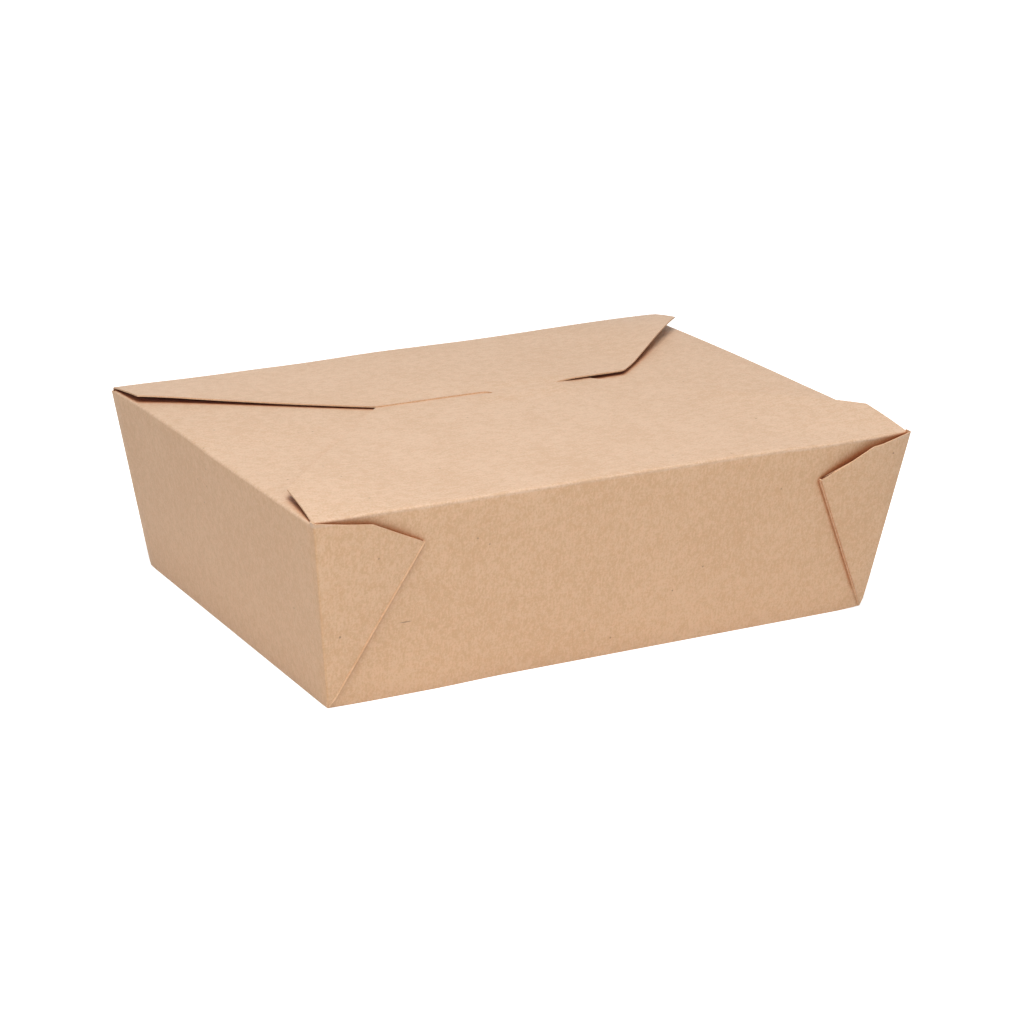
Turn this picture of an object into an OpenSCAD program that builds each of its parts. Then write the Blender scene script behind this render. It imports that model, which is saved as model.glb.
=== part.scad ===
// Takeaway box folded from one sheet of kraft board. The closed box stands on its base,
// with the origin in the middle of the base: X runs along the box, Y from front to rear.
// The end flaps fold in first and the front flap lies on them. The locking flap comes down
// last, from the rear crease, and puts its tongue through the slit in the front flap.

/* [Box] */
// Length of the closed box along its top
top_l = 217; // [209:1:225]
// Width of the closed box across its top
top_w = 164; // [158:1:172]
// Length of the base
base_l = 199; // [191:1:206]
// Width of the base
base_w = 144; // [136:1:152]
// Height of the closed box, with its three layers of flaps
box_h = 64; // [54:1:72]

/* [Board] */
// Thickness of the board
board_t = 0.45; // [0.35:0.05:0.6]
// Space between two loose layers of board
layer_gap = 0.25; // [0.2:0.05:0.4]
// Outer radius of the folds
fold_r = 0.9; // [0.7:0.1:1.5]

/* [Corner webs] */
// Length of a web's folded edge, from the bottom corner to its tip
web_len = 59; // [45:1:60]
// Distance from the bottom corner to the kink in a web's top edge
web_kink_len = 61.6; // [61:0.1:63]
// Share of a web's angle at which the kink lies
web_kink_at = 0.46; // [0.3:0.02:0.7]
// Drop of a web's top edge below the end flap
web_drop = 0.6; // [0.4:0.1:2]
// Space between the two layers of a web
web_gap = 0.12; // [0.1:0.02:0.3]
// Depth to which the glue draws a web into the long wall
web_glue = 0.08; // [0.04:0.02:0.15]

/* [End flaps] */
// Length of an end flap from its fold to its tip
end_flap_len = 70; // [55:1:80]
// Distance from the end of the fold to the flap's root, at each side
end_flap_inset = 1.6; // [1.2:0.1:4]
// Taper of the end flap's sides
end_flap_taper = 9; // [4:1:14]
// Radius of the end flap's corners
end_flap_r = 7; // [3:1:15]

/* [Front flap] */
// Depth of the full-width band beside the front crease
front_band = 24; // [16:1:28]
// Distance from the rear of the box to the flap's free edge
front_flap_short = 49.9; // [42:0.1:56]
// Length of the free edge, between the slanted sides
front_free_len = 64.6; // [60:0.2:90]
// Radius of the corners of the free edge
front_corner_r = 10; // [4:1:16]
// Lift of the left ear, where the band ends
front_lift_left = 4.4; // [0:0.2:6]
// Lift of the right ear
front_lift_right = 3.2; // [0:0.2:6]

/* [Locking flap] */
// Depth of the full-width band beside the rear crease
lock_band = 21.5; // [14:0.5:28]
// Distance from the middle of the box to the left corner of the straight edge
lock_left = 45; // [36:1:54]
// Distance from the middle of the box to the right corner of the straight edge
lock_right = 59; // [50:1:66]
// Radius of the left corner
lock_left_r = 8; // [2:1:14]
// Radius of the right corner
lock_right_r = 5; // [2:1:14]
// Lift of the left ear, where the band ends
lock_lift_left = 1.4; // [0:0.2:5]
// Lift of the right ear, which has curled up
lock_lift_right = 4.4; // [0:0.2:9]

/* [Ears] */
// Distance from the end of a crease to the end of the flap's band
ear_inset = 0.6; // [0.5:0.1:2]
// Length of each ear that curls
curl_len = 48; // [30:1:60]

/* [Tongue and slit] */
// Distance from the front flap's free edge to the tongue's slit
slit_inset = 15.6; // [10:0.1:20]
// Place of the tongue along the box, measured from the middle
tongue_x = 17; // [6:0.5:22]
// Width of the tongue
tongue_w = 25; // [18:1:28]
// Distance from the flap's straight edge to the fold of its tongue
tongue_root = 3.4; // [3:0.2:5]
// Radius of the inner corners beside the tongue's root
root_r = 3; // [1:0.2:3]
// Length of the tongue below the flap
tongue_len = 9.5; // [7:0.5:12]
// Radius of the tongue's corners
tongue_r = 5; // [2:0.5:5.5]
// Clearance around the tongue in the slit
slit_clear = 0.3; // [0.25:0.05:0.6]

/* [Rear crease] */
// Extra radius of the crease, where the board is squeezed into a bead
bead = 0.05; // [0.04:0.01:0.1]
// Clearance between the bead and the rear wall
hinge_clear = 0.12; // [0.1:0.02:0.3]

/* [Hidden] */
$fn = 48;
kraft = [0.84, 0.70, 0.55];
kraft_light = [0.88, 0.75, 0.62];
// Points round one fold, and steps across a curled ear
arc_steps = 8;
curl_steps = 8;
// Power of an ear's rise along its length
curl_power = 1.6;
// Flat strip of a flap beside its crease, before the ears rise
crease_flat = 1.5;
// Length over which two stretches of the same flat board run into each other
lap = 0.5;
// Reach of a cutting shape past what it cuts
over = 5;
// Distance that the tongue's face stands back from the end of its root
tongue_set = 0.05;
// Distance that a wall's edge stays inside the board that it runs into
edge_set = 0.05;
// Sides of the rod that rounds a web's fold
rod_sides = 8;

// Heights of the upper faces of the three layers of flaps, from the lowest up
pitch = board_t + layer_gap;
end_top = box_h - 2 * pitch;
front_top = box_h - pitch;
lock_top = box_h;

// How far each wall moves out for every millimetre up
slope_x = (top_l - base_l) / 2 / box_h;
slope_y = (top_w - base_w) / 2 / box_h;

// Outer faces of the end walls and of the long walls at a height
function end_wall_x(z) = base_l / 2 + slope_x * z;
function long_wall_y(z) = base_w / 2 + slope_y * z;

// Hinge line of the locking flap, in the middle of its board and just clear of the rear wall
hinge_r = board_t / 2 + bead;
hinge_z = lock_top - board_t / 2;
hinge_y = long_wall_y(hinge_z) + hinge_r + hinge_clear;
rear_wall_top = hinge_z - hinge_r - hinge_clear;

// Free edge of the front flap, the tongue's slit behind it, and the locking flap's straight edge
front_free_y = top_w / 2 - front_flap_short;
tongue_y = front_free_y - slit_inset;
lock_edge_y = tongue_y + tongue_root;

// Front crease, and the ends of both flaps' bands
front_crease_y = -long_wall_y(front_top);
ear_x = end_wall_x(front_top) - ear_inset;
front_sheet_y = front_crease_y + fold_r + crease_flat;

// The angles round a bottom corner of the flat blank add up to a full turn, and the web takes
// what the base and the two walls leave
end_lean = atan((top_w - base_w) / 2 / norm([box_h, (top_l - base_l) / 2]));
long_lean = atan((top_l - base_l) / 2 / norm([box_h, (top_w - base_w) / 2]));
web_angle = (90 - end_lean - long_lean) / 2;
web_t = 2 * board_t + web_gap;
web_out = web_t * norm([1, slope_y]);
web_top = end_top - web_drop;
web_edge_len = norm([web_top, slope_x * web_top, slope_y * web_top]);

function unit(v) = v / norm(v);
function to_left(v) = [-v.y, v.x];
function turned(v, a) = [v.x * cos(a) - v.y * sin(a), v.x * sin(a) + v.y * cos(a)];
function at_angle(r, a) = [r * sin(a), r * cos(a)];
function reversed(list) = [for (i = [len(list) - 1 : -1 : 0]) list[i]];
function clamp(v) = min(max(v, 0), 1);

// Points round the corner at b of a path from a to c, moved to the left by d
function corner_points(a, b, c, r, d) =
    let (u = unit(b - a), v = unit(c - b))
    let (turn = atan2(u.x * v.y - u.y * v.x, u * v), side = sign(turn))
    let (centre = b - u * r * tan(abs(turn) / 2) + to_left(u) * side * r)
    [for (i = [0 : arc_steps]) centre - turned(to_left(u) * side, turn * i / arc_steps) * (r - side * d)];

// An open path with rounded corners, moved to the left by d
function folded(path, r, d) =
    let (last = len(path) - 1)
    let (start = path[0] + to_left(unit(path[1] - path[0])) * d)
    let (end = path[last] + to_left(unit(path[last] - path[last - 1])) * d)
    [start, for (i = [1 : last - 1]) each corner_points(path[i - 1], path[i], path[i + 1], r, d), end];

// A closed outline of [x, y, radius] corners
function outline(corners) =
    let (n = len(corners), flat = [for (c = corners) [c.x, c.y]])
    [for (i = [0 : n - 1])
        each corners[i].z > 0
            ? corner_points(flat[(i + n - 1) % n], flat[i], flat[(i + 1) % n], corners[i].z, 0)
            : [flat[i]]];

// Section of board folded along a path
module board_section(path) {
    polygon(concat(folded(path, fold_r, 0), reversed(folded(path, fold_r, board_t))));
}

// Section of all that lies between a pair of walls, from the base up to a height
module inner_section(half_base, slope, z) {
    half_top = half_base + slope * z;
    path = [[-half_top, z], [-half_base, 0], [half_base, 0], [half_top, z]];
    polygon(folded(path, fold_r, 0));
}

// A section drawn in Y and Z, run along the box
module along_x(length) {
    rotate([90, 0, 90])
        linear_extrude(length, center = true)
            children();
}

// A section drawn in X and Z, run across the box
module along_y(length) {
    rotate([90, 0, 0])
        linear_extrude(length, center = true)
            children();
}

// A plan drawn in X and Y, raised from a height
module above(z, height) {
    translate([0, 0, z])
        linear_extrude(height)
            children();
}

// All that lies between the outer faces of the end walls, moved out by extra
module between_ends(z, extra) {
    along_y(top_w + 4 * over)
        inner_section(base_l / 2 + extra, slope_x, z);
}

// All that lies between the outer faces of the long walls, moved out by extra
module between_sides(z, extra) {
    along_x(top_l + 4 * over)
        inner_section(base_w / 2 + extra, slope_y, z);
}

// Plan of the front flap, from past its crease to its free edge
module front_plan() {
    band_y = front_crease_y + front_band;
    free_x = front_free_len / 2;
    polygon(outline([
        [-ear_x, band_y, 0],
        [-ear_x, front_crease_y - over, 0],
        [ear_x, front_crease_y - over, 0],
        [ear_x, band_y, 0],
        [free_x, front_free_y, front_corner_r],
        [-free_x, front_free_y, front_corner_r]
    ]));
}

// Plan of one end flap, the one on the +X side
module end_plan() {
    root = long_wall_y(end_top) - end_flap_inset;
    crease_x = end_wall_x(end_top);
    tip_x = crease_x - end_flap_len;
    tip = root - end_flap_len * tan(end_flap_taper);
    polygon(outline([
        [crease_x + over, root, 0],
        [crease_x, root, 0],
        [tip_x, tip, end_flap_r],
        [tip_x, -tip, end_flap_r],
        [crease_x, -root, 0],
        [crease_x + over, -root, 0]
    ]));
}

// Plan of the locking flap, in front of its hinge line
module lock_plan() {
    band_y = hinge_y - lock_band;
    polygon(outline([
        [ear_x, hinge_y, 0],
        [-ear_x, hinge_y, 0],
        [-ear_x, band_y, 0],
        [-lock_left, lock_edge_y, lock_left_r],
        [tongue_x - tongue_w / 2, lock_edge_y, root_r],
        [tongue_x - tongue_w / 2, tongue_y, 0],
        [tongue_x + tongue_w / 2, tongue_y, 0],
        [tongue_x + tongue_w / 2, lock_edge_y, root_r],
        [lock_right, lock_edge_y, lock_right_r],
        [ear_x, band_y, 0]
    ]));
}

// Rise of a flap at a place along its crease, for each full depth of its band
function ear_rise(x, left, right) =
    (x < 0 ? left : right) * pow(clamp((abs(x) - ear_x + curl_len) / curl_len), curl_power);

// A level sheet of board whose ears rise away from the crease. It runs from y0 to y1, and its
// ears reach their lift at the depth of the band.
module curled_sheet(top, y0, y1, band, left, right) {
    xs = [for (i = [0 : curl_steps]) ear_x + lap - (curl_len + lap) * i / curl_steps];
    stations = concat([for (x = xs) -x], reversed(xs));
    run = abs(y1 - y0);
    rows = [0, band / 2, band, (band + run) / 2, run];
    columns = len(stations);
    count = columns * len(rows);
    way = sign(y1 - y0);
    points = [
        for (z = [top, top - board_t], row = rows, x = stations)
            [x, y0 + way * row, z + ear_rise(x, left, right) * row / band]
    ];
    cells = [for (j = [0 : len(rows) - 2], i = [0 : columns - 2]) j * columns + i];
    upper = [for (k = cells) each [[k, k + columns, k + 1], [k + 1, k + columns, k + columns + 1]]];
    lower = [for (f = upper) [f[2] + count, f[1] + count, f[0] + count]];
    rim = concat(
        [for (i = [0 : columns - 1]) i],
        [for (j = [1 : len(rows) - 1]) j * columns + columns - 1],
        [for (i = [columns - 2 : -1 : 0]) (len(rows) - 1) * columns + i],
        [for (j = [len(rows) - 2 : -1 : 1]) j * columns]
    );
    sides = [
        for (k = [0 : len(rim) - 1])
            let (a = rim[k], b = rim[(k + 1) % len(rim)])
            each [[a, b, a + count], [b, b + count, a + count]]
    ];
    faces = concat(upper, lower, sides);
    polyhedron(points, way > 0 ? faces : [for (f = faces) reversed(f)]);
}

// Front wall, base, rear wall and the start of the front flap, as one folded strip
module long_strip() {
    path = [
        [front_sheet_y + lap, front_top],
        [front_crease_y, front_top],
        [-base_w / 2, 0],
        [base_w / 2, 0],
        [long_wall_y(rear_wall_top), rear_wall_top]
    ];
    intersection() {
        along_x(top_l + 2 * over)
            board_section(path);
        union() {
            between_ends(front_top - fold_r, -edge_set);
            above(front_top - fold_r, fold_r + over)
                front_plan();
            above(front_top - fold_r, fold_r + over)
                translate([-ear_x, 0])
                    square([2 * ear_x, top_w]);
        }
    }
}

// End walls, base and both end flaps, as the other strip of the cross
module end_strip() {
    crease_x = end_wall_x(end_top);
    tip_x = crease_x - end_flap_len;
    path = [
        [-tip_x, end_top],
        [-crease_x, end_top],
        [-base_l / 2, 0],
        [base_l / 2, 0],
        [crease_x, end_top],
        [tip_x, end_top]
    ];
    intersection() {
        along_y(top_w + 2 * over)
            board_section(path);
        union() {
            between_sides(web_top - fold_r, web_out - edge_set);
            between_sides(end_top - fold_r, -edge_set);
            for (side = [0, 1])
                mirror([side, 0, 0])
                    above(end_top - fold_r, fold_r + over)
                        end_plan();
        }
    }
}

// The front flap, apart from the bend at its crease
module front_sheet() {
    intersection() {
        curled_sheet(front_top, front_sheet_y, front_free_y + over, front_band,
            front_lift_left, front_lift_right);
        above(0, 2 * box_h)
            front_plan();
    }
}

// The slit in the front flap, below the tongue's fold
module slit() {
    half = tongue_w / 2 + slit_clear;
    translate([tongue_x - half, tongue_y - slit_clear, front_top - board_t - over])
        cube([2 * half, board_t + 2 * slit_clear, 2 * over]);
}

// Places what is drawn on the outer face of the front wall: X runs inwards from the bottom
// left corner, Y up the slope and Z out from the wall
module on_front_wall() {
    up = unit([0, -slope_y, 1]);
    multmatrix([
        [1, 0, 0, -base_l / 2],
        [0, up.y, -up.z, -base_w / 2],
        [0, up.z, up.y, 0]
    ])
        children();
}

// One web: the corner of the blank, folded double and laid against the outside of the long wall
module web() {
    fold = web_angle - long_lean;
    tip = at_angle(web_len, fold);
    kink = at_angle(web_kink_len, web_angle * web_kink_at - long_lean);
    top = at_angle(web_edge_len, -long_lean);
    rod_r = (web_t + web_glue) / 2;
    for (span = [[-web_glue, board_t], [board_t + web_gap, web_t]])
        translate([0, 0, span[0]])
            linear_extrude(span[1] - span[0])
                polygon([[0, 0], tip, kink, top, [top.x - over, top.y], [-over, 0]]);
    rotate([0, 0, -fold])
        translate([0, 0, rod_r - web_glue])
            rotate([-90, 180 / rod_sides, 0])
                cylinder(h = web_len, r = rod_r / cos(180 / rod_sides), $fn = rod_sides);
}

// The four webs, cut to the planes of the end walls
module webs() {
    intersection() {
        for (x = [0, 1], y = [0, 1])
            mirror([x, 0, 0])
                mirror([0, y, 0])
                    on_front_wall()
                        web();
        between_ends(box_h, 0);
        between_sides(box_h, web_out);
    }
}

// The folded board, apart from the locking flap
module carton() {
    color(kraft) {
        difference() {
            union() {
                long_strip();
                front_sheet();
            }
            slit();
        }
        end_strip();
        webs();
    }
}

// The tongue, turned down round the hinge line so that it swings through the slit
module tongue() {
    outer_r = hinge_y - tongue_y - tongue_set;
    intersection() {
        translate([0, hinge_y, hinge_z])
            along_x(top_l)
                difference() {
                    circle(outer_r, $fn = 360);
                    circle(outer_r - board_t, $fn = 360);
                }
        translate([0, tongue_y, 0])
            along_y(2 * over)
                polygon(outline([
                    [tongue_x - tongue_w / 2, hinge_z, 0],
                    [tongue_x - tongue_w / 2, hinge_z - tongue_len, tongue_r],
                    [tongue_x + tongue_w / 2, hinge_z - tongue_len, tongue_r],
                    [tongue_x + tongue_w / 2, hinge_z, 0]
                ]));
    }
}

// The last flap to close, with its half of the rear crease
module locking_flap() {
    color(kraft_light) {
        intersection() {
            curled_sheet(lock_top, hinge_y - crease_flat, tongue_y - over, lock_band,
                lock_lift_left, lock_lift_right);
            above(0, 2 * box_h)
                lock_plan();
        }
        translate([-ear_x, hinge_y - crease_flat - lap, lock_top - board_t])
            cube([2 * ear_x, crease_flat + lap, board_t]);
        translate([0, hinge_y, hinge_z])
            rotate([0, 90, 0])
                cylinder(h = 2 * ear_x, r = hinge_r, center = true);
        tongue();
    }
}

carton();
locking_flap();
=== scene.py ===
"""A closed takeaway box of folded kraft board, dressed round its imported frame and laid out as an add-on."""
import math

import bmesh
import bpy
from mathutils import Matrix, Vector


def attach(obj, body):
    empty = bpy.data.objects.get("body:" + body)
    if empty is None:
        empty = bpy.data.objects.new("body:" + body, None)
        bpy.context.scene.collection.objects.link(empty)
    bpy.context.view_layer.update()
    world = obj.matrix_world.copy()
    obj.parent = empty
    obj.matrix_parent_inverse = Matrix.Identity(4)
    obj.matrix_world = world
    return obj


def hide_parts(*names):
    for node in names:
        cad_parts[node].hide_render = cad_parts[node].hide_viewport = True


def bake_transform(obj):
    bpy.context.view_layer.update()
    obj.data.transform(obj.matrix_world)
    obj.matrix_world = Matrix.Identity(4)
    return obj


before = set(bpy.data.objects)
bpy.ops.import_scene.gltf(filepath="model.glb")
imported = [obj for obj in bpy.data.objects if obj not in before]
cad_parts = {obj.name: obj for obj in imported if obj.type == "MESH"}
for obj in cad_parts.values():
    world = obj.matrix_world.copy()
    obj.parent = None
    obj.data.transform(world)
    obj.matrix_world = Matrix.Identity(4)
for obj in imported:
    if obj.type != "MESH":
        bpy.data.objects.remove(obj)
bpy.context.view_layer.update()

bl_info = {
    "name": "Takeaway Box",
    "version": (1, 0, 0),
    "blender": (4, 5, 0),
    "location": "View3D > Sidebar > Takeaway Box",
    "description": "Folds a kraft board takeaway box with a locking flap",
    "category": "Add Mesh",
}

MM = 0.001
NEAR = 1e-6  # metres within which two places are one
X, Y, Z = Vector((1, 0, 0)), Vector((0, 1, 0)), Vector((0, 0, 1))

# The photograph's camera, found from the box's corners: angles in degrees, lengths in metres
CAMERA_AZIMUTH = -29.085
CAMERA_ELEVATION = 18.483
CAMERA_ROLL = 0.963
CAMERA_DISTANCE = 0.925519
CAMERA_TARGET = Vector((0.004234, 0, 0.026317))
CAMERA_LENS = 95.19  # millimetres on a 36 mm sensor

# Where the locking sheet takes over from the rear wall
SEAM_HEIGHT = 60.5 * MM
# Corners of the webs' outlines at the left (-1) and right (1) ends, measured along and up the long wall from its corner
WEB_START = Vector((0.6, 0)) * MM
WEB_KINKS = {-1: Vector((10.5, 61.4)) * MM, 1: Vector((7, 62)) * MM}
WEB_TIPS = {-1: Vector((29.2, 52.2)) * MM, 1: Vector((25.7, 51.6)) * MM}
# How far each web stands off, by the end and the long wall it is on, in millimetres. The front ones differ.
WEB_LOOSE = {(-1, -1): 1.0, (1, -1): 1.7, (-1, 1): 0.8, (1, 1): 0.8}

# How far the ears of a flap rise and draw inwards at their ends, in millimetres: left and right
FRONT_EARS = (2.9, 3.2), (2.1, -1.5)
LOCKING_EARS = (1.7, 0.6), (4.0, 2.0)

# Swellings and dents of the board, in millimetres: the rise, the range along X where it is full and the edge over which
# it fades outside that, and the same along Y
FAR = 1000
TOP_SWELLINGS = (
    (0.6, -110, -84, 44, 20, 52, 30),
    (-0.6, 74, 94, 18, -FAR, -74, 14),
)
# Measured along Y from the locking flap's straight edge
LOCKING_SWELLINGS = (
    (0.35, 38, 60, 8, -FAR, 0, 14),
    (-0.3, -60, 4, 10, -FAR, 0, 14),
    (-0.35, 9, 30, 5, -FAR, 0, 7),
)
LOCKING_BAND_SWELLINGS = ((-0.15, -92, -62, 20, -FAR, 45, 20),)
SLIT_LIP = ((0.6, 3, 30, 4, -1.5, 0, 10),)
FLUSH_EDGE = ((0.32, 28, 32, 4, -2, -0.3, 5),)

# Specks and a scratch that the photograph shows on the front: place, stretch and reach, in millimetres
MARKS = (
    ((-97.1, -76.9, 24.4), (1, 1, 1), 0.55),
    ((101.6, -82.0, 57.2), (1, 1, 1), 0.5),
    ((-74.5, -75.9, 25.2), (0.1, 1, 1), 0.28),
)
# Painted sheen that makes the board's top paler and bluer, painted shade that makes its ends darker and yellower, the
# tint of its rosy clouds, and painted shade that darkens and reddens it deep in a gap, from one closeness to another
TOP_PAINTED_SHEEN = (1, 1.07, 1.2)
END_PAINTED_SHADE = (0.98, 0.94, 0.87)
ROSY_TINT = (1.03, 0.975, 0.96)
GAP_PAINTED_SHADES = ((0.05, 0.6, (0.86, 0.56, 0.36)), (0.35, 0.8, (0.66, 0.42, 0.3)))


def size(name, default, description):
    """A size that a user can change, given in millimetres and kept in metres."""
    return bpy.props.FloatProperty(
        name=name, description=description, default=default * MM, min=0, unit="LENGTH", precision=5
    )


def colour(name, default, description):
    """A colour that a user can change, as linear light."""
    return bpy.props.FloatVectorProperty(
        name=name, description=description, default=default, size=3, min=0, max=1, subtype="COLOR"
    )


class TakeawayBoxSizes(bpy.types.PropertyGroup):
    """Sizes of the folded box"""

    top_length: size("Top Length", 217, "Length of the closed box along its top")
    top_width: size("Top Width", 164, "Width of the closed box across its top")
    base_length: size("Base Length", 199, "Length of the base")
    base_width: size("Base Width", 144, "Width of the base")
    height: size("Height", 64, "Height of the closed box")
    board: size("Board", 0.45, "Thickness of the board")
    layer_gap: size("Layer Gap", 0.25, "Space between two loose layers of board")
    crease_radius: size("Crease Radius", 0.85, "Outer radius of the creases of the flaps")
    fold_radius: size("Fold Radius", 0.5, "Outer radius of the folds round the base, at the corners and of the tongue")
    web_top: size("Web Top", 63.4, "Height of the top corner of a front web")
    rear_web_top: size("Rear Web Top", 62, "Height of the top corner of a rear web")
    web_gap: size("Web Gap", 0.12, "Space between the two layers of a web")
    end_flap: size("End Flap", 70, "Length of an end flap")
    end_inset: size("End Flap Inset", 1.6, "Distance from the end of the crease to the end flap's root")
    front_band: size("Front Band", 25, "Depth of the front flap's full-width band")
    front_short: size("Front Flap Short", 49.9, "Distance from the rear of the box to the front flap's free edge")
    front_free: size("Front Free Edge", 64.6, "Length of the front flap's free edge")
    lock_band: size("Locking Band", 21.5, "Depth of the locking flap's full-width band")
    lock_left: size("Straight Edge, Left", 38.7, "Distance from the middle to the straight edge's left corner")
    lock_right: size("Straight Edge, Right", 58.3, "Distance from the middle to the straight edge's right corner")
    slit_inset: size("Slit Inset", 17.6, "Distance from the front flap's free edge to the slit")
    tongue_place: size("Tongue Place", 17, "Place of the tongue along the box")
    tongue_width: size("Tongue Width", 25, "Width of the tongue")
    tongue_root: size("Tongue Root", 3.4, "Distance from the straight edge to the tongue's fold")
    tongue_length: size("Tongue Length", 9.5, "Length of the tongue below the flap")
    ear_inset: size("Ear Inset", 0.6, "Distance from the end of a crease to the end of a flap's band")
    curl: size("Curl", 48, "Length of each ear that curls")


class TakeawayBoxColours(bpy.types.PropertyGroup):
    """Colours of the board and the floor"""

    kraft: colour("Kraft", (0.640, 0.405, 0.236), "Main colour of the kraft board")
    pale_fibre: colour("Pale Fibre", (0.700, 0.470, 0.300), "Colour of the pale fibres")
    dark_fibre: colour("Dark Fibre", (0.540, 0.320, 0.170), "Colour of the dark fibres")
    bark: colour("Bark", (0.150, 0.065, 0.030), "Colour of the specks of bark in the board")
    cut_edge: colour("Cut Edge", (0.660, 0.430, 0.280), "Colour of the board's cut edges")
    floor: colour("Floor", (0.780, 0.780, 0.780), "Colour of the floor")


# Measures of the folded box


def ramp(distance, reach):
    """Rises from 0 to 1 over a reach in millimetres."""
    return min(1, distance / (reach * MM))


def fade(distance, reach):
    """Falls from 1 to 0 over a reach in millimetres."""
    return max(0, 1 - distance / (reach * MM))


def bump_between(value, low, high, edge):
    """1 between two values in millimetres, and falling smoothly to 0 over an edge outside them."""
    share = fade(max(low * MM - value, value - high * MM, 0), edge)
    return share * share * (3 - 2 * share)


def swellings(table, x, y):
    """The rise that a table of swellings gives at a place."""
    return MM * sum(row[0] * bump_between(x, *row[1:4]) * bump_between(y, *row[4:7]) for row in table)


class Box:
    """The lines and planes of the folded box, worked out from its sizes."""

    def __init__(self, sizes):
        self.s = s = sizes
        flare_x, flare_y = (s.top_length - s.base_length) / 2, (s.top_width - s.base_width) / 2
        self.slope_x, self.slope_y = flare_x / s.height, flare_y / s.height
        pitch = s.board + s.layer_gap
        self.lock_top = s.height
        self.front_top = s.height - pitch
        self.end_top = s.height - 2 * pitch
        self.front_crease_y = -self.long_y(self.front_top)
        self.rear_crease_y = self.long_y(self.lock_top)
        self.ear_x = self.end_x(self.front_top) - s.ear_inset
        self.free_y = s.top_width / 2 - s.front_short
        self.tongue_y = self.free_y - s.slit_inset
        self.lock_edge_y = self.tongue_y + s.tongue_root
        self.web_out = 2 * s.board + s.web_gap
        self.up = Vector((0, -self.slope_y, 1)).normalized()
        self.out = Vector((0, -self.up.z, self.up.y))
        self.end_out = Vector((1, 0, -self.slope_x)).normalized()
        self.long_lean = math.atan(flare_x / math.hypot(s.height, flare_y))
        self.long_turn = math.pi / 2 - math.atan(self.slope_y)
        self.end_turn = math.pi / 2 - math.atan(self.slope_x)

    def end_x(self, z):
        """Outer face of an end wall at a height."""
        return self.s.base_length / 2 + self.slope_x * z

    def long_y(self, z):
        """Outer face of a long wall at a height."""
        return self.s.base_width / 2 + self.slope_y * z

    def on_front(self, along, up, out):
        """A place on the front wall, measured from its bottom right corner."""
        corner = Vector((self.s.base_length / 2, -self.s.base_width / 2, 0))
        return corner - X * along + self.up * up + self.out * out

    def wear(self, co):
        """Rise of the front right bottom corner, which has been knocked."""
        away = (co - Vector((self.s.base_length / 2, -self.s.base_width / 2, 0))).length
        return 0.45 * MM * fade(away, 10) ** 2

    def belly(self, co):
        """How far the bottom of the front wall bulges out near its left end."""
        forward = max(0, -co.y / (self.s.base_width / 2)) ** 2
        return MM * bump_between(co.x, -84, -64, 28) * fade(co.z, 30) ** 2 * forward

    def swell(self, x, y):
        """Rise of the closed top, whose creases bulge up between the corners. The rear crease sags at the left and
        climbs at the right, and the right end has filled out."""
        u = min(1, abs(x) / self.end_x(self.lock_top)) ** 2
        v = min(1, abs(y) / self.rear_crease_y) ** 2
        crown, end_crown, right_end = 1.15, 0.6 + 0.1 * (1 - v), 1.1
        rise = crown * (1 - u) + end_crown * u + right_end * u * (x > 0) * (1 - v)
        climb = max(0, ramp(x - 20 * MM, 85))
        rear = 1.8 * climb * climb * (3 - 2 * climb) - 0.6 - 0.75 * bump_between(x, -62, -42, 40)
        toward_rear = max(0, ramp(y + 20 * MM, 102)) ** (2 - climb)
        return MM * (rise + rear * toward_rear) + swellings(TOP_SWELLINGS, x, y)


# Modelling by hand


def start_sheet(name, width, depth, centre):
    """Adds a plane at its size and place and opens it in edit mode."""
    bpy.ops.object.select_all(action="DESELECT")
    bpy.ops.mesh.primitive_plane_add(size=1, location=centre)
    sheet = bpy.context.object
    sheet.name = sheet.data.name = name
    sheet.scale = (width, depth, 1)
    bpy.ops.object.transform_apply(location=True, rotation=True, scale=True)
    bpy.ops.object.mode_set(mode="EDIT")
    return sheet


def pick_edges(sheet, test):
    """Selects only the edges whose two ends both pass a test."""
    bpy.ops.mesh.select_mode(type="EDGE")
    bpy.ops.mesh.select_all(action="DESELECT")
    mesh = bmesh.from_edit_mesh(sheet.data)
    for edge in mesh.edges:
        if all(test(corner.co) for corner in edge.verts):
            edge.select_set(True)
    bmesh.update_edit_mesh(sheet.data)


def pick_faces(sheet, test):
    """Selects only the faces whose middle and normal pass a test."""
    bpy.ops.mesh.select_mode(type="FACE")
    bpy.ops.mesh.select_all(action="DESELECT")
    mesh = bmesh.from_edit_mesh(sheet.data)
    for face in mesh.faces:
        if test(face.calc_center_median(), face.normal):
            face.select_set(True)
    bmesh.update_edit_mesh(sheet.data)


def push(vector):
    """Extrudes the selected edges."""
    bpy.ops.mesh.extrude_region_move(TRANSFORM_OT_translate={"value": vector})


def narrow(share, centre):
    """Draws the selected edges together along the box."""
    bpy.ops.transform.resize(value=(share, 1, 1), center_override=centre)


def anywhere(co, normal):
    """The test that every face passes."""
    return True


def score(sheet, test, point, normal):
    """Adds a line of edges along a plane to the faces that pass a test."""
    pick_faces(sheet, test)
    bpy.ops.mesh.bisect(plane_co=point, plane_no=normal, threshold=1e-7)


def trim(sheet, test, point, outward):
    """Cuts the faces that pass a test along a plane and drops the ones on its outer side."""
    score(sheet, test, point, outward)
    pick_faces(sheet, lambda co, normal: test(co, normal) and (co - point).dot(outward) > 0)
    bpy.ops.mesh.delete(type="FACE")


def round_fold(radius, turn, steps):
    """Rounds the selected creases to an arc."""
    bpy.ops.mesh.bevel(
        offset=radius * math.tan(turn / 2), offset_type="OFFSET", segments=steps, profile=0.5,
        affect="EDGES", clamp_overlap=False,
    )


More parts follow.
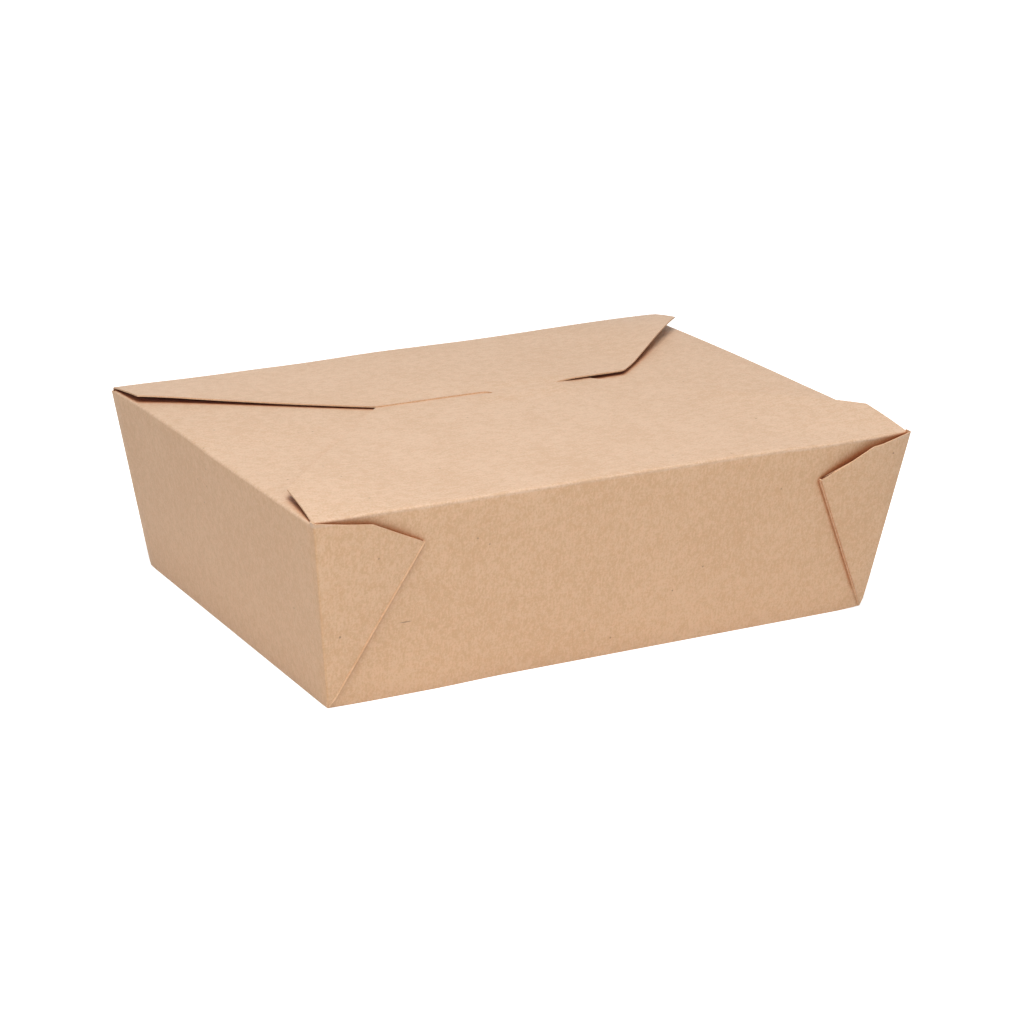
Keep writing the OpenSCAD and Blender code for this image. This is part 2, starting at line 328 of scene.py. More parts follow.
def trim_outline(sheet, test, corners, radii, steps=5):
    """Trims the faces that pass a test to a convex outline, anticlockwise from above, and rounds its inner corners."""
    corners = [Vector((*corner, 0)) for corner in corners]
    for first, second in zip(corners, corners[1:]):
        trim(sheet, test, first, (second - first).cross(Z))
    for before, corner, after, radius in zip(corners, corners[1:], corners[2:], radii):
        if not radius:
            continue
        into, away = (corner - before).normalized(), (after - corner).normalized()
        first, last = into.cross(Z), away.cross(Z)
        turn = math.atan2(into.cross(away).z, into.dot(away))
        centre = corner - into * radius * math.tan(turn / 2) - first * radius
        for step in range(1, steps):
            normal = first.lerp(last, step / steps).normalized()
            trim(sheet, test, centre + normal * radius, normal)


def score_grid(box, sheet, spacing):
    """Scores a sheet in all three directions, so that it can curl and bulge. The lines are moved a little, so that none
    falls on a corner."""
    aside = 0.013 * MM
    for axis, far in zip((X, Y, Z), (box.end_x(box.s.height), box.rear_crease_y, box.s.height)):
        count = math.ceil(2 * far / spacing)
        for step in range(1, count):
            score(sheet, anywhere, axis * (2 * far * step / count - far + aside), axis)


def keep_place(sheet):
    """Keeps each point's place on the undistorted box, in millimetres, for the board's pattern to follow."""
    place = sheet.data.attributes.new("place", "FLOAT_VECTOR", "POINT")
    for vertex, value in zip(sheet.data.vertices, place.data):
        value.vector = vertex.co / MM


def bend_sheet(sheet, shape):
    """Moves every point of a sheet as a function of its place says."""
    for vertex in sheet.data.vertices:
        vertex.co = shape(vertex.co.copy())


def face_out(sheet, outwardness):
    """Joins the sheet's doubled points, turns its faces so that most of their area points outwards, and leaves edit
    mode. Outwardness is above 0 for the middle and normal of a face that points outwards."""
    bpy.ops.mesh.select_mode(type="FACE")
    bpy.ops.mesh.select_all(action="SELECT")
    bpy.ops.mesh.remove_doubles(threshold=2e-6)
    bpy.ops.mesh.normals_make_consistent(inside=False)
    mesh = bmesh.from_edit_mesh(sheet.data)
    if sum(outwardness(face.calc_center_median(), face.normal) * face.calc_area() for face in mesh.faces) < 0:
        bpy.ops.mesh.flip_normals()
    bpy.ops.object.mode_set(mode="OBJECT")


def thicken(sheet, board, finishes):
    """Gives a sheet its board thickness, inwards from the outer face, with a cut edge and an inside of their own."""
    bpy.ops.object.select_all(action="DESELECT")
    sheet.select_set(True)
    bpy.context.view_layer.objects.active = sheet
    for finish in finishes:
        sheet.data.materials.append(finish)
    solid = sheet.modifiers.new("Board", "SOLIDIFY")
    solid.thickness = board
    solid.offset = -1
    solid.material_offset = 2
    solid.material_offset_rim = 1
    bpy.ops.object.modifier_apply(modifier=solid.name)
    bpy.ops.object.shade_smooth_by_angle(angle=math.radians(32))


# Finishes


class Value:
    """A socket that gives a number. Using it in an expression adds Math nodes."""

    def __init__(self, nodes, socket):
        self.nodes = nodes
        self.socket = socket

    def maths(self, operation, *values):
        return self.nodes.value("ShaderNodeMath", {"operation": operation}, dict(enumerate(values)))

    def __abs__(self):
        return self.maths("ABSOLUTE", self)

    def __add__(self, other):
        return self.maths("ADD", self, other)

    def __sub__(self, other):
        return self.maths("SUBTRACT", self, other)

    def __rsub__(self, other):
        return self.maths("SUBTRACT", other, self)

    def __mul__(self, other):
        return self.maths("MULTIPLY", self, other)

    __radd__ = __add__
    __rmul__ = __mul__

    def clamp(self):
        return self.nodes.value("ShaderNodeClamp", {}, {"Value": self})

    def step(self, low, high):
        """Rises smoothly from 0 to 1 between two values."""
        return self.nodes.value(
            "ShaderNodeMapRange", {"interpolation_type": "SMOOTHSTEP"},
            {"Value": self, "From Min": low, "From Max": high},
        )


class Nodes:
    """A node tree under construction, with one method for every kind of node."""

    def __init__(self, tree):
        self.tree = tree

    def node(self, kind, settings, inputs, output=0):
        """Adds a node, sets it, then fills its sockets, and returns one of its outputs."""
        made = self.tree.nodes.new(kind)
        for name, value in settings.items():
            setattr(made, name, value)
        for name, value in inputs.items():
            self.fill(made.inputs[name], value)
        return made.outputs[output]

    def fill(self, socket, value):
        if isinstance(value, Value):
            value = value.socket
        if isinstance(value, bpy.types.NodeSocket):
            self.tree.links.new(value, socket)
        else:
            socket.default_value = value

    def value(self, kind, settings, inputs, output=0):
        return Value(self, self.node(kind, settings, inputs, output))

    def mix(self, share, first, second):
        """Mixes two colours."""
        return self.node("ShaderNodeMix", {"data_type": "RGBA"}, {0: share, 6: first, 7: second}, 2)

    def vector(self, operation, first, second):
        return self.node("ShaderNodeVectorMath", {"operation": operation}, {0: first, 1: second})

    def noise(self, place, scale, detail, roughness=0.5, stretch=(1, 1, 1)):
        """Noise about a half, whose grain is finer as the scale rises."""
        where = self.vector("MULTIPLY", place, stretch)
        return self.value(
            "ShaderNodeTexNoise", {}, {"Vector": where, "Scale": scale, "Detail": detail, "Roughness": roughness}
        )

    def background_ray(self):
        """1 for the rays that show the background as it is: the camera's, a reflection's and glass's."""
        camera, glossy, through = (
            self.value("ShaderNodeLightPath", {}, {}, f"Is {kind} Ray") for kind in ("Camera", "Glossy", "Transmission")
        )
        return (camera + glossy + through).clamp()


class Finish(Nodes):
    """A material under construction."""

    def __init__(self, name):
        self.material = bpy.data.materials.new(name)
        self.material.use_nodes = True
        super().__init__(self.material.node_tree)
        self.shader = self.tree.nodes["Principled BSDF"]

    def board_place(self):
        """Where a point lies on the undistorted box, in millimetres."""
        return self.node("ShaderNodeAttribute", {"attribute_name": "place"}, {}, "Vector")

    def set(self, **inputs):
        for name, value in inputs.items():
            self.fill(self.shader.inputs[name.replace("_", " ").title().replace("Ior", "IOR")], value)


def with_alpha(rgb):
    return (*rgb, 1)


def kraft_finish(name, fuzz):
    """Uncoated kraft board: mottled fibres, short streaks along the grain and a few specks of bark, with painted sheen
    on its top, painted shade on its ends and painted shade deep in its gaps.
    """
    colours = bpy.context.scene.takeaway_box_colours
    box = Box(bpy.context.scene.takeaway_box_sizes)
    finish = Finish(name)
    place = finish.board_place()
    across, height = (finish.value("ShaderNodeSeparateXYZ", {}, {"Vector": place}, axis) for axis in (0, 2))
    on_top = height.step(61.5, 62.5)
    on_end = (abs(across) - height * box.slope_x - box.s.base_length / 2 / MM).step(-0.8, -0.2) * (1 - on_top)

    soft = finish.noise(place, scale=0.34, detail=3, roughness=0.6)
    fine = finish.noise(place, scale=1.5, detail=3, roughness=0.7)
    cloud = finish.noise(place, scale=0.035, detail=2)
    upright = finish.noise(place, scale=1, detail=2, roughness=0.6, stretch=(1.6, 1.6, 0.45))
    level = finish.noise(place, scale=1, detail=2, roughness=0.6, stretch=(0.3, 1.9, 1.6))
    grain = upright * (1 - on_top) + level * on_top
    tone = (soft - 0.5) + (fine - 0.5) * 2.2 + (grain - 0.5) * 1.3 + (cloud - 0.5) * 0.5
    base = finish.mix(
        (0.5 + tone * (1.75 + on_top * 0.35)).clamp(), with_alpha(colours.dark_fibre), with_alpha(colours.pale_fibre)
    )
    base = finish.mix(0.55, with_alpha(colours.kraft), base)
    # Painted sheen makes the top paler and bluer, and painted shade makes the ends darker and yellower.
    painted_wall_shade = finish.mix(on_end, (1, 1, 1, 1), with_alpha(END_PAINTED_SHADE))
    base = finish.vector("MULTIPLY", base, finish.mix(on_top, painted_wall_shade, with_alpha(TOP_PAINTED_SHEEN)))
    rosy = finish.noise(place, scale=0.55, detail=2).step(0.35, 0.7) * 0.5
    base = finish.mix(rosy.clamp(), base, finish.vector("MULTIPLY", base, ROSY_TINT))

    cell = finish.value(
        "ShaderNodeTexVoronoi", {"feature": "F1"}, {"Vector": place, "Scale": 0.16, "Randomness": 1.0}, "Distance"
    )
    speck = (1 - cell.step(0.02, 0.075)) * finish.noise(place, scale=0.05, detail=0).step(0.55, 0.6)
    for mark, stretch, reach in MARKS:
        offset = finish.vector("MULTIPLY", finish.vector("SUBTRACT", place, mark), stretch)
        away = finish.value("ShaderNodeVectorMath", {"operation": "LENGTH"}, {0: offset}, "Value")
        speck = speck + (1 - away.step(reach * 0.4, reach))
    base = finish.mix((speck * 0.6).clamp(), base, with_alpha(colours.bark))

    # Painted shade: where ambient occlusion finds a gap, away from the floor, the board is darkened and reddened.
    open_air = finish.value("ShaderNodeAmbientOcclusion", {"samples": 8}, {"Distance": 4 * MM}, 1)
    gap_shade_mask = (1 - open_air) * height.step(2, 12)
    for low, high, shade_colour in GAP_PAINTED_SHADES:
        base = finish.mix(gap_shade_mask.step(low, high), base, finish.vector("MULTIPLY", base, shade_colour))

    bumps = (fine - 0.5) * 0.6 + (grain - 0.5) * 0.4 + (soft - 0.5) * 0.6
    normal = finish.node("ShaderNodeBump", {}, {"Strength": fuzz, "Distance": 0.06 * MM, "Height": bumps})
    rough = 0.60 + (fine - 0.5) * 0.12
    finish.set(base_color=base, roughness=rough, normal=normal, ior=1.5, sheen_weight=0.1, sheen_roughness=0.35)


def cut_edge_finish(name):
    """The pressed fibres of the board's cut edges."""
    colours = bpy.context.scene.takeaway_box_colours
    finish = Finish(name)
    fibre = finish.noise(finish.board_place(), scale=2.2, detail=3, roughness=0.7)
    base = finish.mix(fibre.step(0.3, 0.7), with_alpha(colours.dark_fibre), with_alpha(colours.cut_edge))
    normal = finish.node("ShaderNodeBump", {}, {"Strength": 0.4, "Distance": 0.08 * MM, "Height": fibre})
    finish.set(base_color=base, roughness=0.8, normal=normal, ior=1.5)


def board_finishes():
    """The outside, the cut edge and the inside of the board, made once and shared."""
    names = ("kraft_outside", "kraft_cut_edge", "kraft_inside")
    if not all(name in bpy.data.materials for name in names):
        outside, edge, inside = names
        kraft_finish(outside, fuzz=0.35)
        cut_edge_finish(edge)
        kraft_finish(inside, fuzz=0.2)
    return [bpy.data.materials[name] for name in names]


# The folded sheets


def curl_ears(box, co, depth, left, right):
    """How far an ear's point moves. Left and right give each ear's rise and its draw inwards, in millimetres, at the
    full depth of the band, which is a depth of 1."""
    along = max(0, (abs(co.x) - box.ear_x + box.s.curl) / box.s.curl)
    rise, draw = left if co.x < 0 else right
    share = along ** 1.6 * max(0, depth) ** 0.75
    return Vector((-math.copysign(1, co.x) * draw * share, 0, rise * share)) * MM


def long_strip(box):
    """Folds the base, the two long walls and the front flap out of one strip."""
    s = box.s
    past = 5 * MM
    sheet = start_sheet("long_strip", 2 * s.top_length, s.base_width, (0, 0, 0))
    pick_edges(sheet, lambda co: co.y < 0)
    push((0, -box.slope_y * box.front_top, box.front_top))
    push((0, box.free_y + past - box.front_crease_y, 0))
    pick_edges(sheet, lambda co: abs(co.y - s.base_width / 2) < NEAR and co.z < NEAR)
    push((0, box.slope_y * SEAM_HEIGHT, SEAM_HEIGHT))
    pick_edges(sheet, lambda co: abs(co.z - box.front_top) < NEAR and co.y < box.front_crease_y + NEAR)
    round_fold(s.crease_radius, math.pi - box.long_turn, 6)
    pick_edges(sheet, lambda co: co.z < NEAR)
    round_fold(s.fold_radius, box.long_turn, 4)
    top = box.front_top - s.crease_radius * math.tan((math.pi - box.long_turn) / 2) * box.up.z

    def on_flap(co, normal):
        return co.z > top and co.y < box.free_y + 6 * MM and abs(normal.dot(box.out)) < 0.999

    for side in (-1, 1):
        out = Vector((side * box.end_out.x, 0, box.end_out.z))
        end = Vector((side * s.base_length / 2, 0, 0)) - out * s.board
        trim(sheet, lambda co, normal: not on_flap(co, normal), end, out)
    rear_y, band_y, free_x = box.front_crease_y - past, box.front_crease_y + s.front_band, s.front_free / 2
    trim_outline(
        sheet, on_flap,
        [
            (box.ear_x, rear_y), (box.ear_x, band_y), (free_x, box.free_y),
            (6.5 * MM - free_x, box.free_y), (-box.ear_x, band_y), (-box.ear_x, rear_y),
        ],
        [1.5 * MM, 10 * MM, 10 * MM, 1.5 * MM],
    )
    score_grid(box, sheet, 6 * MM)

    slit_front, slit_back = box.tongue_y + 0.02 * MM, box.tongue_y + s.board + 0.3 * MM
    half = s.tongue_width / 2 + 0.3 * MM
    for y in (
        slit_front - 8 * MM, slit_front - 4 * MM, slit_front - 1.5 * MM, slit_front, slit_back,
        box.lock_edge_y - 0.3 * MM, box.lock_edge_y + 1.2 * MM,
    ):
        score(sheet, on_flap, Vector((0, y, 0)), Y)
    for x in (s.tongue_place - half, s.tongue_place + half):
        score(sheet, on_flap, Vector((x, 0, 0)), X)

    def in_slit(co, normal):
        return on_flap(co, normal) and slit_front < co.y < slit_back and abs(co.x - s.tongue_place) < half

    pick_faces(sheet, in_slit)
    bpy.ops.mesh.delete(type="FACE")

    def outwardness(co, normal):
        if co.z < MM:
            return -normal.z
        return normal.z * (co.z > top) + normal.dot(box.out) * (co.y < -s.base_width / 2)

    face_out(sheet, outwardness)
    keep_place(sheet)
    start_y = box.front_crease_y + s.crease_radius + 1.4 * MM

    def shape(co):
        move = Z * (box.swell(co.x, co.y) * (co.z / box.front_top) ** 2 + box.wear(co))
        behind_web = bump_between(abs(co.x), 88, 120, 24) * bump_between(co.z, 55, 62, 14)
        move.y += 0.7 * MM * behind_web * (co.y < 0) - box.belly(co)
        if co.z > top:
            move += curl_ears(box, co, (co.y - start_y) / s.front_band, *FRONT_EARS)
            if co.y < slit_front + NEAR:
                move.z += swellings(SLIT_LIP, co.x, co.y - slit_front)
            if co.y < box.lock_edge_y:
                move.z += swellings(FLUSH_EDGE, co.x, co.y - box.lock_edge_y)
        return co + move

    bend_sheet(sheet, shape)
    thicken(sheet, s.board, board_finishes())
    return sheet


def end_sheet(box, kink, tip):
    """Folds the right end wall, its flap and its two webs out of one sheet. Kink and tip are corners of a web's
    outline."""
    s = box.s
    crease_x, tip_x = box.end_x(box.end_top), box.end_x(box.end_top) - s.end_flap
    sheet = start_sheet("end_sheet", s.end_flap, 2 * s.top_width, ((crease_x + tip_x) / 2, 0, box.end_top))
    pick_edges(sheet, lambda co: co.x > crease_x - NEAR)
    push((-box.slope_x * box.end_top, 0, -box.end_top))
    push((-5 * MM, 0, 0))
    pick_edges(sheet, lambda co: abs(co.z - box.end_top) < NEAR and co.x > crease_x - NEAR)
    round_fold(s.crease_radius, math.pi - box.end_turn, 6)
    pick_edges(sheet, lambda co: co.z < NEAR and co.x > s.base_length / 2 - NEAR)
    round_fold(s.fold_radius, box.end_turn, 4)
    top = box.end_top - s.crease_radius * math.tan((math.pi - box.end_turn) / 2) * box.end_out.x
    base_x = s.base_length / 2 - s.fold_radius * math.tan(box.end_turn / 2)
    trim(sheet, lambda co, normal: co.z < NEAR, Vector((base_x, 0, 0)), -X)

    def on_flap(co, normal):
        return co.z > top and abs(normal.dot(box.end_out)) < 0.999

    taper = math.radians(9)
    for side in (-1, 1):
        root = Vector((crease_x, side * (box.long_y(box.end_top) - s.end_inset), 0))
        trim(sheet, on_flap, root, Y * side)
        trim(sheet, on_flap, root, Vector((-math.sin(taper), side * math.cos(taper), 0)))
        pick_edges(sheet, lambda co: abs(co.z - top) < NEAR and co.y * side > root.y * side - NEAR)
        push(Vector((box.slope_x, 0, 1)) * ((s.web_top if side < 0 else s.rear_web_top) - top))
        out = Vector((0, side * -box.out.y, box.out.z))
        wall = Vector((0, side * s.base_width / 2, 0)) + out * box.web_out
        trim(sheet, lambda co, normal: not on_flap(co, normal), wall, out)

    for side in (-1, 1):
        fold_web(box, sheet, side, kink, tip)
    score_grid(box, sheet, 7 * MM)
    face_out(sheet, lambda co, normal: normal.x if co.z < top else normal.z)
    return sheet


def fold_web(box, sheet, side, kink, tip):
    """Folds one web out of the end wall: round the corner, along the long wall and back under itself."""
    s = box.s
    reach = 65 * MM
    flat_z = s.fold_radius * math.tan(box.end_turn / 2) * box.end_out.x - NEAR

    def turned(vector):
        """A vector of the front wall, turned to this side."""
        return Vector((vector.x, -side * vector.y, vector.z))

    out, up = turned(box.out), turned(box.up)

    def placed(point, out_by):
        return turned(box.on_front(point.x, point.y, out_by))

    def in_plane(vector):
        return -X * vector.x + up * vector.y

    def on_outer(co):
        return abs((co - placed(Vector((0, 0)), box.web_out)).dot(out)) < 2 * NEAR

    def on_layer(out_by):
        place = placed(WEB_START, out_by)
        return lambda co, normal: abs((co - place).dot(out)) < 2 * NEAR and abs(normal.dot(out)) > 0.999

    def trim_above(out_by, *points):
        """Trims a layer to the line through some points, which runs away from the corner."""
        for first, second in zip(points, points[1:]):
            run = (second - first).normalized()
            trim(sheet, on_layer(out_by), placed(first, out_by), in_plane(Vector((-run.y, run.x))))

    pick_edges(sheet, lambda co: on_outer(co) and co.z > flat_z)
    push((-reach, 0, 0))
    pick_edges(sheet, lambda co: on_outer(co) and co.x > s.base_length / 2 - s.board and co.z > flat_z)
    round_fold(s.fold_radius, math.pi / 2, 3)

    drop = Vector((0, 0 if side < 0 else s.web_top - s.rear_web_top))
    top = Vector((-math.tan(box.long_lean), 1)) * s.web_top / box.up.z - drop
    kink = kink - drop
    line = (tip - WEB_START).normalized()
    away = Vector((line.y, -line.x))
    across = in_plane(away)
    trim(sheet, on_layer(box.web_out), placed(WEB_START, box.web_out), across)
    trim_above(box.web_out, top, kink, tip)

    pick_edges(sheet, lambda co: on_outer(co) and abs((co - placed(WEB_START, box.web_out)).dot(across)) < 2 * NEAR)
    inner = 0.03 * MM
    radius = (box.web_out - inner) / 2
    axis = in_plane(line)
    turn_sign = 1 if axis.cross(out).dot(across) > 0 else -1
    bpy.ops.mesh.spin(
        steps=6, angle=turn_sign * math.pi, center=placed(WEB_START, box.web_out - radius), axis=axis,
        use_auto_merge=False,
    )
    push(-across * reach)
    lower = Vector((0, 3 * MM))
    trim_above(inner, top - lower, kink - lower)
    trim_above(inner, kink - lower, tip)
    trim(sheet, on_layer(inner), Vector((s.base_length / 2, 0, 0)) - box.end_out * s.board, box.end_out)


def dress_end(box, sheet, side):
    """Copies the end sheet for one end of the box, lets it bulge and stand off as folded board does and thickens it."""
    s = box.s
    bpy.ops.object.select_all(action="DESELECT")
    sheet.select_set(True)
    bpy.context.view_layer.objects.active = sheet
    bpy.ops.object.duplicate()
    end = bpy.context.object
    end.name = end.data.name = "right_end" if side > 0 else "left_end"
    if side < 0:
        bpy.ops.object.mode_set(mode="EDIT")
        bpy.ops.mesh.select_all(action="SELECT")
        bpy.ops.transform.resize(value=(-1, 1, 1), center_override=(0, 0, 0))
        bpy.ops.object.mode_set(mode="OBJECT")
        bpy.ops.object.mode_set(mode="EDIT")
        face_out(end, lambda co, normal: -normal.x if co.z < SEAM_HEIGHT else normal.z)
    keep_place(end)
    line = (WEB_TIPS[side] - WEB_START).normalized()

    def on_web(co, y_side):
        """The long wall's outward direction, how far a point stands off that wall as a share of the web's stand-off,
        and how far it is inside the web's fold."""
        out = Vector((0, -y_side * box.out.y, box.out.z))
        off = (co - Vector((0, y_side * s.base_width / 2, 0))).dot(out) / box.web_out
        place = Vector((s.base_length / 2 - abs(co.x), co.z / box.up.z)) - WEB_START
        return out, off, place.y * line.x - place.x * line.y

    def shape(co):
        rise = box.swell(co.x, co.y) * min(1, co.z / box.end_top) ** 2 + box.wear(co)
        shift = Vector((0, -box.belly(co), 0))
        for y_side in (-1, 1):
            out, off, inside = on_web(co, y_side)
            if off < 0.01:
                continue
            along, to_fold = box.end_x(co.z) - abs(co.x), max(0, inside)
            open_share = ramp(along, 12) * ramp(to_fold, 10) * ramp(co.z, 60) ** 2
            pinch = 0.08 * fade(to_fold, 3)
            shift += out * MM * (WEB_LOOSE[side, y_side] * open_share * off - pinch * (off - 0.3))
            shift -= out * box.web_out * off * fade(co.z, 5) ** 2
        return co + Z * rise + shift

    bend_sheet(end, shape)
    thicken(end, s.board, board_finishes())
    return end


def rounded_in(radius, reach):
    """How far the side of a piece with a rounded corner comes in, at a reach along the corner."""
    return radius - math.sqrt(max(0, radius ** 2 - reach ** 2))


def locking_sheet(box):
    """Folds the locking flap, with the top of the rear wall, its crease and its tongue."""
    s = box.s
    depth = box.rear_crease_y - box.lock_edge_y
    sheet = start_sheet("locking_board", 2 * s.top_length, depth, (0, box.lock_edge_y + depth / 2, box.lock_top))
    drop = box.lock_top - SEAM_HEIGHT
    pick_edges(sheet, lambda co: co.y > box.rear_crease_y - NEAR)
    push((0, -box.slope_y * drop, -drop))
    pick_edges(sheet, lambda co: abs(co.z - box.lock_top) < NEAR and co.y > box.rear_crease_y - NEAR)
    round_fold(s.crease_radius, math.pi - box.long_turn, 6)
    rear_y, band_y = box.rear_crease_y + 5 * MM, box.rear_crease_y - s.lock_band
    trim_outline(
        sheet, anywhere,
        [
            (box.ear_x, rear_y), (-box.ear_x, rear_y), (-box.ear_x, band_y), (-s.lock_left, box.lock_edge_y),
            (s.lock_right, box.lock_edge_y), (box.ear_x, band_y), (box.ear_x, rear_y),
        ],
        [0, 0, 8 * MM, 5 * MM, 0],
    )
    root_r, tip_r, half = 3 * MM, 5 * MM, s.tongue_width / 2
    for x in (s.tongue_place - half - root_r, s.tongue_place + half + root_r):
        score(sheet, anywhere, Vector((x, 0, 0)), X)
    score_grid(box, sheet, 6 * MM)
    for y in (0.8, 2, 4, 8):
        score(sheet, anywhere, Vector((0, box.lock_edge_y + y * MM, 0)), Y)

    def at_root(co):
        return abs(co.y - box.lock_edge_y) < NEAR and abs(co.x - s.tongue_place) < half + root_r + NEAR

    pick_edges(sheet, at_root)
    width, gone = 2 * (half + root_r), 0
    for depth in (0.3 * MM, 0.9 * MM, 1.8 * MM, s.tongue_root - s.fold_radius):
        new = 2 * (half + rounded_in(root_r, root_r - min(depth, root_r)))
        push((0, gone - depth, 0))
        narrow(new / width, (s.tongue_place, 0, 0))
        width, gone = new, depth
    bpy.ops.mesh.spin(
        steps=4, angle=-math.pi / 2, center=(0, box.tongue_y + s.fold_radius, box.lock_top - s.fold_radius), axis=X,
        use_auto_merge=False,
    )
    gone = s.fold_radius
    for reach in (0, 2.4 * MM, 4 * MM, 4.75 * MM, tip_r):
        depth = s.tongue_length - tip_r + reach
        new = 2 * (half - rounded_in(tip_r, reach))
        hang = depth - gone
        push((0, 0.075 * hang * (0.5 + depth / s.tongue_length), -hang))
        narrow(new / width, (s.tongue_place, 0, 0))
        width, gone = new, depth
    face_out(sheet, lambda co, normal: normal.z)
    keep_place(sheet)
    start_y = box.rear_crease_y - 1.2 * MM

    def shape(co):
        move = Z * box.swell(co.x, co.y) * (min(co.z, box.lock_top) / box.lock_top) ** 2
        move.z -= 0.45 * MM * bump_between(co.x, -120, -92, 34) * ramp(co.z - SEAM_HEIGHT, 3)
        if co.y < start_y:
            move += curl_ears(box, co, (start_y - co.y) / s.lock_band, *LOCKING_EARS)
            move.z += swellings(LOCKING_SWELLINGS, co.x, co.y - box.lock_edge_y)
            move.z += swellings(LOCKING_BAND_SWELLINGS, co.x, co.y)
        return co + move

    bend_sheet(sheet, shape)
    thicken(sheet, s.board, board_finishes())
    return sheet


class TAKEAWAYBOX_OT_carton(bpy.types.Operator):
    """Fold the base, the walls, the webs, the end flaps and the front flap"""

    bl_idname = "takeaway_box.carton"
    bl_label = "Fold the Carton"
    bl_options = {"REGISTER", "UNDO"}

    def execute(self, context):
        box = Box(context.scene.takeaway_box_sizes)
        parts = [long_strip(box)]
        for side in (-1, 1):
            pattern = end_sheet(box, WEB_KINKS[side], WEB_TIPS[side])
            parts.append(dress_end(box, pattern, side))
            bpy.data.objects.remove(pattern)
        bpy.ops.object.select_all(action="DESELECT")
        for part in parts:
            part.select_set(True)
        context.view_layer.objects.active = parts[0]
        bpy.ops.object.join()
        carton = context.object
        carton.name = carton.data.name = "carton_board"
        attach(carton, "carton")
        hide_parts("carton")
        return {"FINISHED"}


class TAKEAWAYBOX_OT_locking_flap(bpy.types.Operator):
    """Fold the locking flap with the top of the rear wall, round the rear crease"""

    bl_idname = "takeaway_box.locking_flap"
    bl_label = "Fold the Locking Flap"
    bl_options = {"REGISTER", "UNDO"}

    def execute(self, context):
        box = Box(context.scene.takeaway_box_sizes)
        flap = locking_sheet(box)
        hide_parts("locking_flap")
        hinge_y = box.rear_crease_y
        hinge_y - 0.3 * MM
        hinge_y - 1.6 * MM
        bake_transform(flap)
        return {"FINISHED"}


class TAKEAWAYBOX_OT_stage(bpy.types.Operator):
    """Set up the pale floor, the soft light and the camera"""

    bl_idname = "takeaway_box.stage"
    bl_label = "Set the Stage"
    bl_options = {"REGISTER", "UNDO"}

    def execute(self, context):
        scene = context.scene
        floor_stage(scene.takeaway_box_colours)
        soft_world(scene)
        lamp("key_lamp", Vector((-0.5, -1.0, 0.6)), width=0.8, power=4.2)
        lamp("top_lamp", Vector((-0.2, -0.3, 0.9)), width=0.5, power=7.1)
        photo_camera(scene)
        scene.view_settings.view_transform = "Standard"
        return {"FINISHED"}


def floor_stage(colours):
    """A wide pale floor, just under the box, that is white to the camera and in reflections and keeps the shadow."""
    bpy.ops.object.select_all(action="DESELECT")
    bpy.ops.mesh.primitive_plane_add(size=12, location=(0, 0, -0.05 * MM))
    floor = bpy.context.object
    floor.name = floor.data.name = "floor"
    bpy.ops.object.transform_apply(location=True, rotation=True, scale=True)
    finish = Finish("pale_floor")
    finish.set(
        base_color=with_alpha(colours.floor), roughness=0.9, emission_color=finish.background_ray().socket,
        emission_strength=0.8,
    )
    floor.data.materials.append(finish.material)


def soft_world(scene):
    """An even white studio: white to the camera and in reflections, and softer as light."""
    world = bpy.data.worlds.new("white_studio")
    world.use_nodes = True
    nodes = Nodes(world.node_tree)
    light = nodes.tree.nodes["Background"]
    light.inputs["Color"].default_value = (1, 1, 1, 1)
    softness = 0.28
    nodes.fill(light.inputs["Strength"], softness + nodes.background_ray() * (1 - softness))
    scene.world = world


def lamp(name, place, width, power):
    """A square soft lamp that faces the box."""
    data = bpy.data.lights.new(name, "AREA")
    data.size = width
    data.energy = power
    made = bpy.data.objects.new(name, data)
    made.location = place
    made.rotation_mode = "QUATERNION"
    made.rotation_quaternion = (CAMERA_TARGET - place).to_track_quat("-Z", "Y")
    bpy.context.scene.collection.objects.link(made)


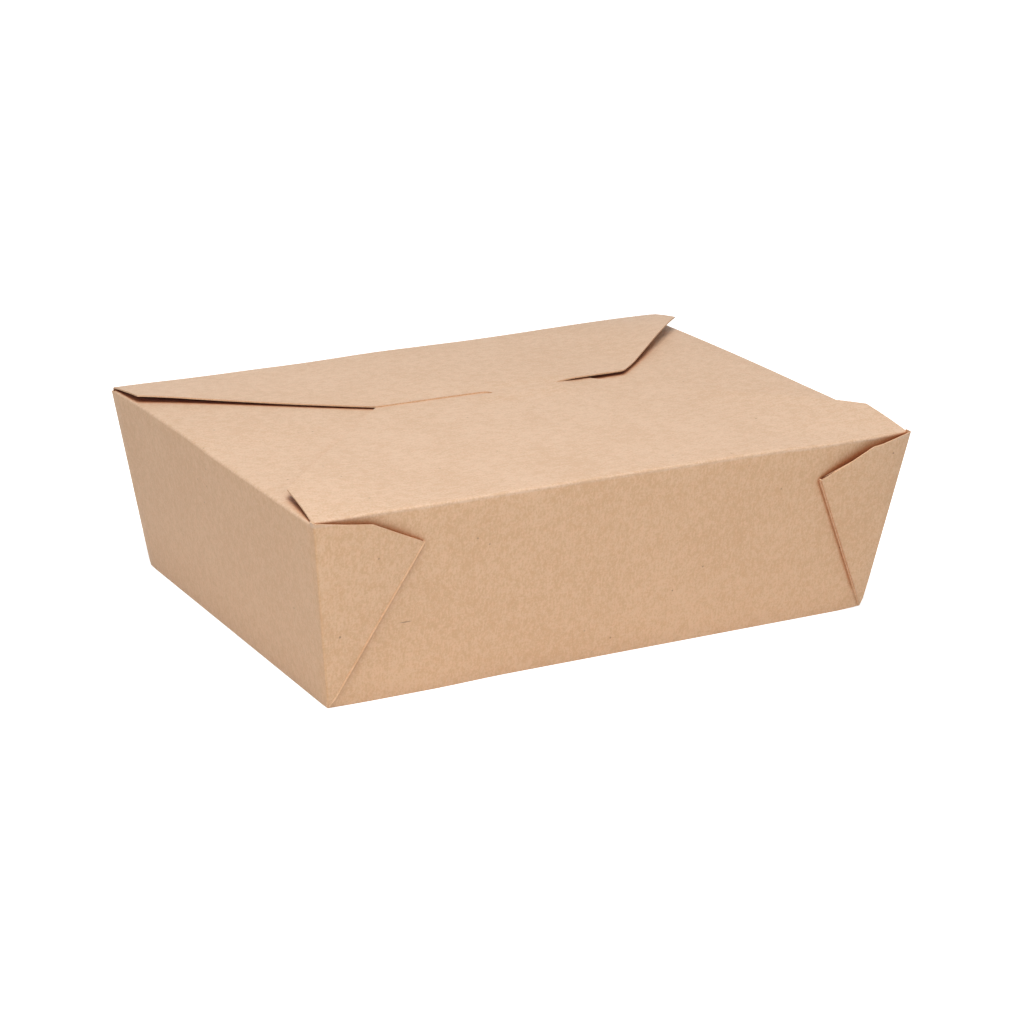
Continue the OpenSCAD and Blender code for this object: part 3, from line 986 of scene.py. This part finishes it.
def photo_camera(scene):
    """The camera of the photograph."""
    azimuth, elevation, roll = (math.radians(angle) for angle in (CAMERA_AZIMUTH, CAMERA_ELEVATION, CAMERA_ROLL))
    back = Vector((
        math.sin(azimuth) * math.cos(elevation), -math.cos(azimuth) * math.cos(elevation), math.sin(elevation)
    ))
    right = (-back).cross(Z).normalized()
    up = right.cross(-back)
    across = right * math.cos(roll) + up * math.sin(roll)
    upward = up * math.cos(roll) - right * math.sin(roll)
    data = bpy.data.cameras.new("photo_camera")
    data.lens = CAMERA_LENS
    data.sensor_width = 36
    camera = bpy.data.objects.new("photo_camera", data)
    turn = Matrix((across, upward, back)).transposed()
    camera.matrix_world = Matrix.Translation(CAMERA_TARGET + back * CAMERA_DISTANCE) @ turn.to_4x4()
    scene.collection.objects.link(camera)
    scene.camera = camera


class TAKEAWAYBOX_PT_panel(bpy.types.Panel):
    """Lists the pieces of the takeaway box"""

    bl_idname = "TAKEAWAYBOX_PT_panel"
    bl_label = "Takeaway Box"
    bl_space_type = "VIEW_3D"
    bl_region_type = "UI"
    bl_category = "Takeaway Box"

    def draw(self, context):
        for operator in OPERATORS:
            self.layout.operator(operator.bl_idname)
        for group in (context.scene.takeaway_box_sizes, context.scene.takeaway_box_colours):
            column = self.layout.column()
            for name in group.__annotations__:
                column.prop(group, name)


OPERATORS = (TAKEAWAYBOX_OT_carton, TAKEAWAYBOX_OT_locking_flap, TAKEAWAYBOX_OT_stage)
CLASSES = (TakeawayBoxSizes, TakeawayBoxColours, *OPERATORS, TAKEAWAYBOX_PT_panel)


def register():
    for cls in CLASSES:
        bpy.utils.register_class(cls)
    bpy.types.Scene.takeaway_box_sizes = bpy.props.PointerProperty(type=TakeawayBoxSizes)
    bpy.types.Scene.takeaway_box_colours = bpy.props.PointerProperty(type=TakeawayBoxColours)


def unregister():
    del bpy.types.Scene.takeaway_box_colours
    del bpy.types.Scene.takeaway_box_sizes
    for cls in reversed(CLASSES):
        bpy.utils.unregister_class(cls)


def main():
    """Makes the whole scene."""
    register()
    bpy.ops.takeaway_box.carton()
    bpy.ops.takeaway_box.locking_flap()
    bpy.ops.takeaway_box.stage()


if __name__ == "__main__":
    main()
